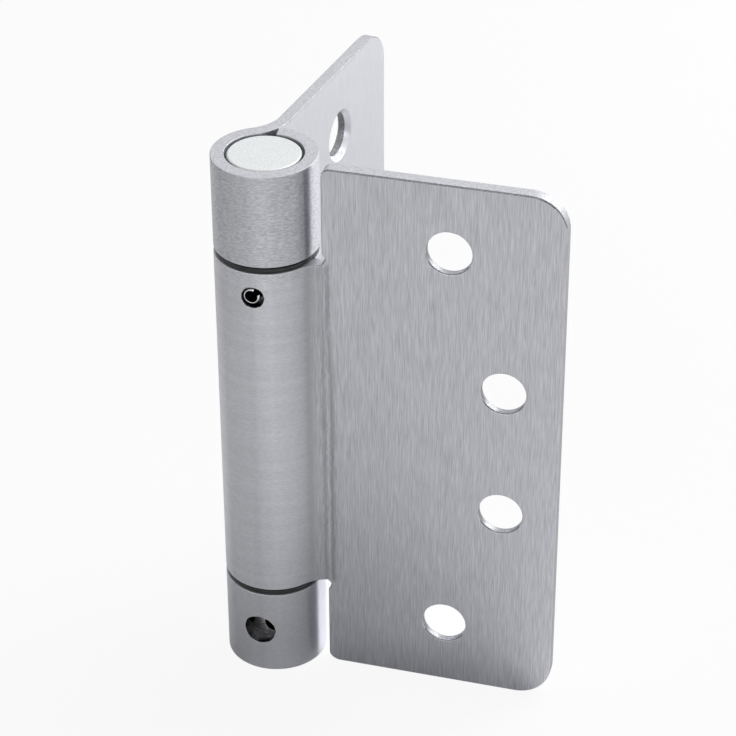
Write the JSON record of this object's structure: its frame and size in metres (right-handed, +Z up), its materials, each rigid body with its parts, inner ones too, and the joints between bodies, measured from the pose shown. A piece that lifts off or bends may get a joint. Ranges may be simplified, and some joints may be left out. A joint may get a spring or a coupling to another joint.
{
  "type": "spring loaded door hinge",
  "caption": "Half open butt hinge with rolled knuckles and a concealed torsion spring that closes the door, with a tension adjusting spindle in the bottom knuckle.",
  "frame": {"origin": "on the knuckles' turning axis, level with the bottom edges of the leaves", "axes": "+Z up along the turning axis, +Y along the frame leaf, and the door leaf 7.9 degrees from +X towards +Y"},
  "size_m": [0.0607, 0.0608, 0.1016],
  "materials": {
    "leaf_steel": "brushed, satin nickel plated",
    "plug_steel": "matte zinc plated",
    "spindle_steel": "machined",
    "pin_steel": "bright rolled",
    "spring_steel": "oil tempered",
    "bush_plastic": "moulded"
  },
  "bodies": {
    "frame": {"frame_leaf": "leaf_steel", "upper_bush": "bush_plastic", "lower_bush": "bush_plastic", "lower_thrust_washer": "bush_plastic"},
    "door": {"door_leaf": "leaf_steel", "upper_thrust_washer": "bush_plastic", "anchor_plug": "plug_steel", "anchor_pin": "pin_steel", "torsion_spring": "spring_steel", "centre_rod": "pin_steel", "rod_washer": "pin_steel"},
    "adjuster": {"tension_spindle": "spindle_steel"}
  },
  "joints": [
    {"name": "door_swing", "type": "hinge", "parent": "frame", "child": "door", "pos_m": [0, 0, 0], "axis": [0, 0, -1], "range_deg": [-82, 98], "stiffness_Nm_per_rad": 0.64, "deforming": ["torsion_spring"]},
    {"name": "tension_adjust", "type": "hinge", "parent": "frame", "child": "adjuster", "pos_m": [0, 0, 0], "axis": [0, 0, 1], "range_deg": [0, 360], "stiffness_Nm_per_rad": 0.64, "deforming": ["torsion_spring"]}
  ]
}
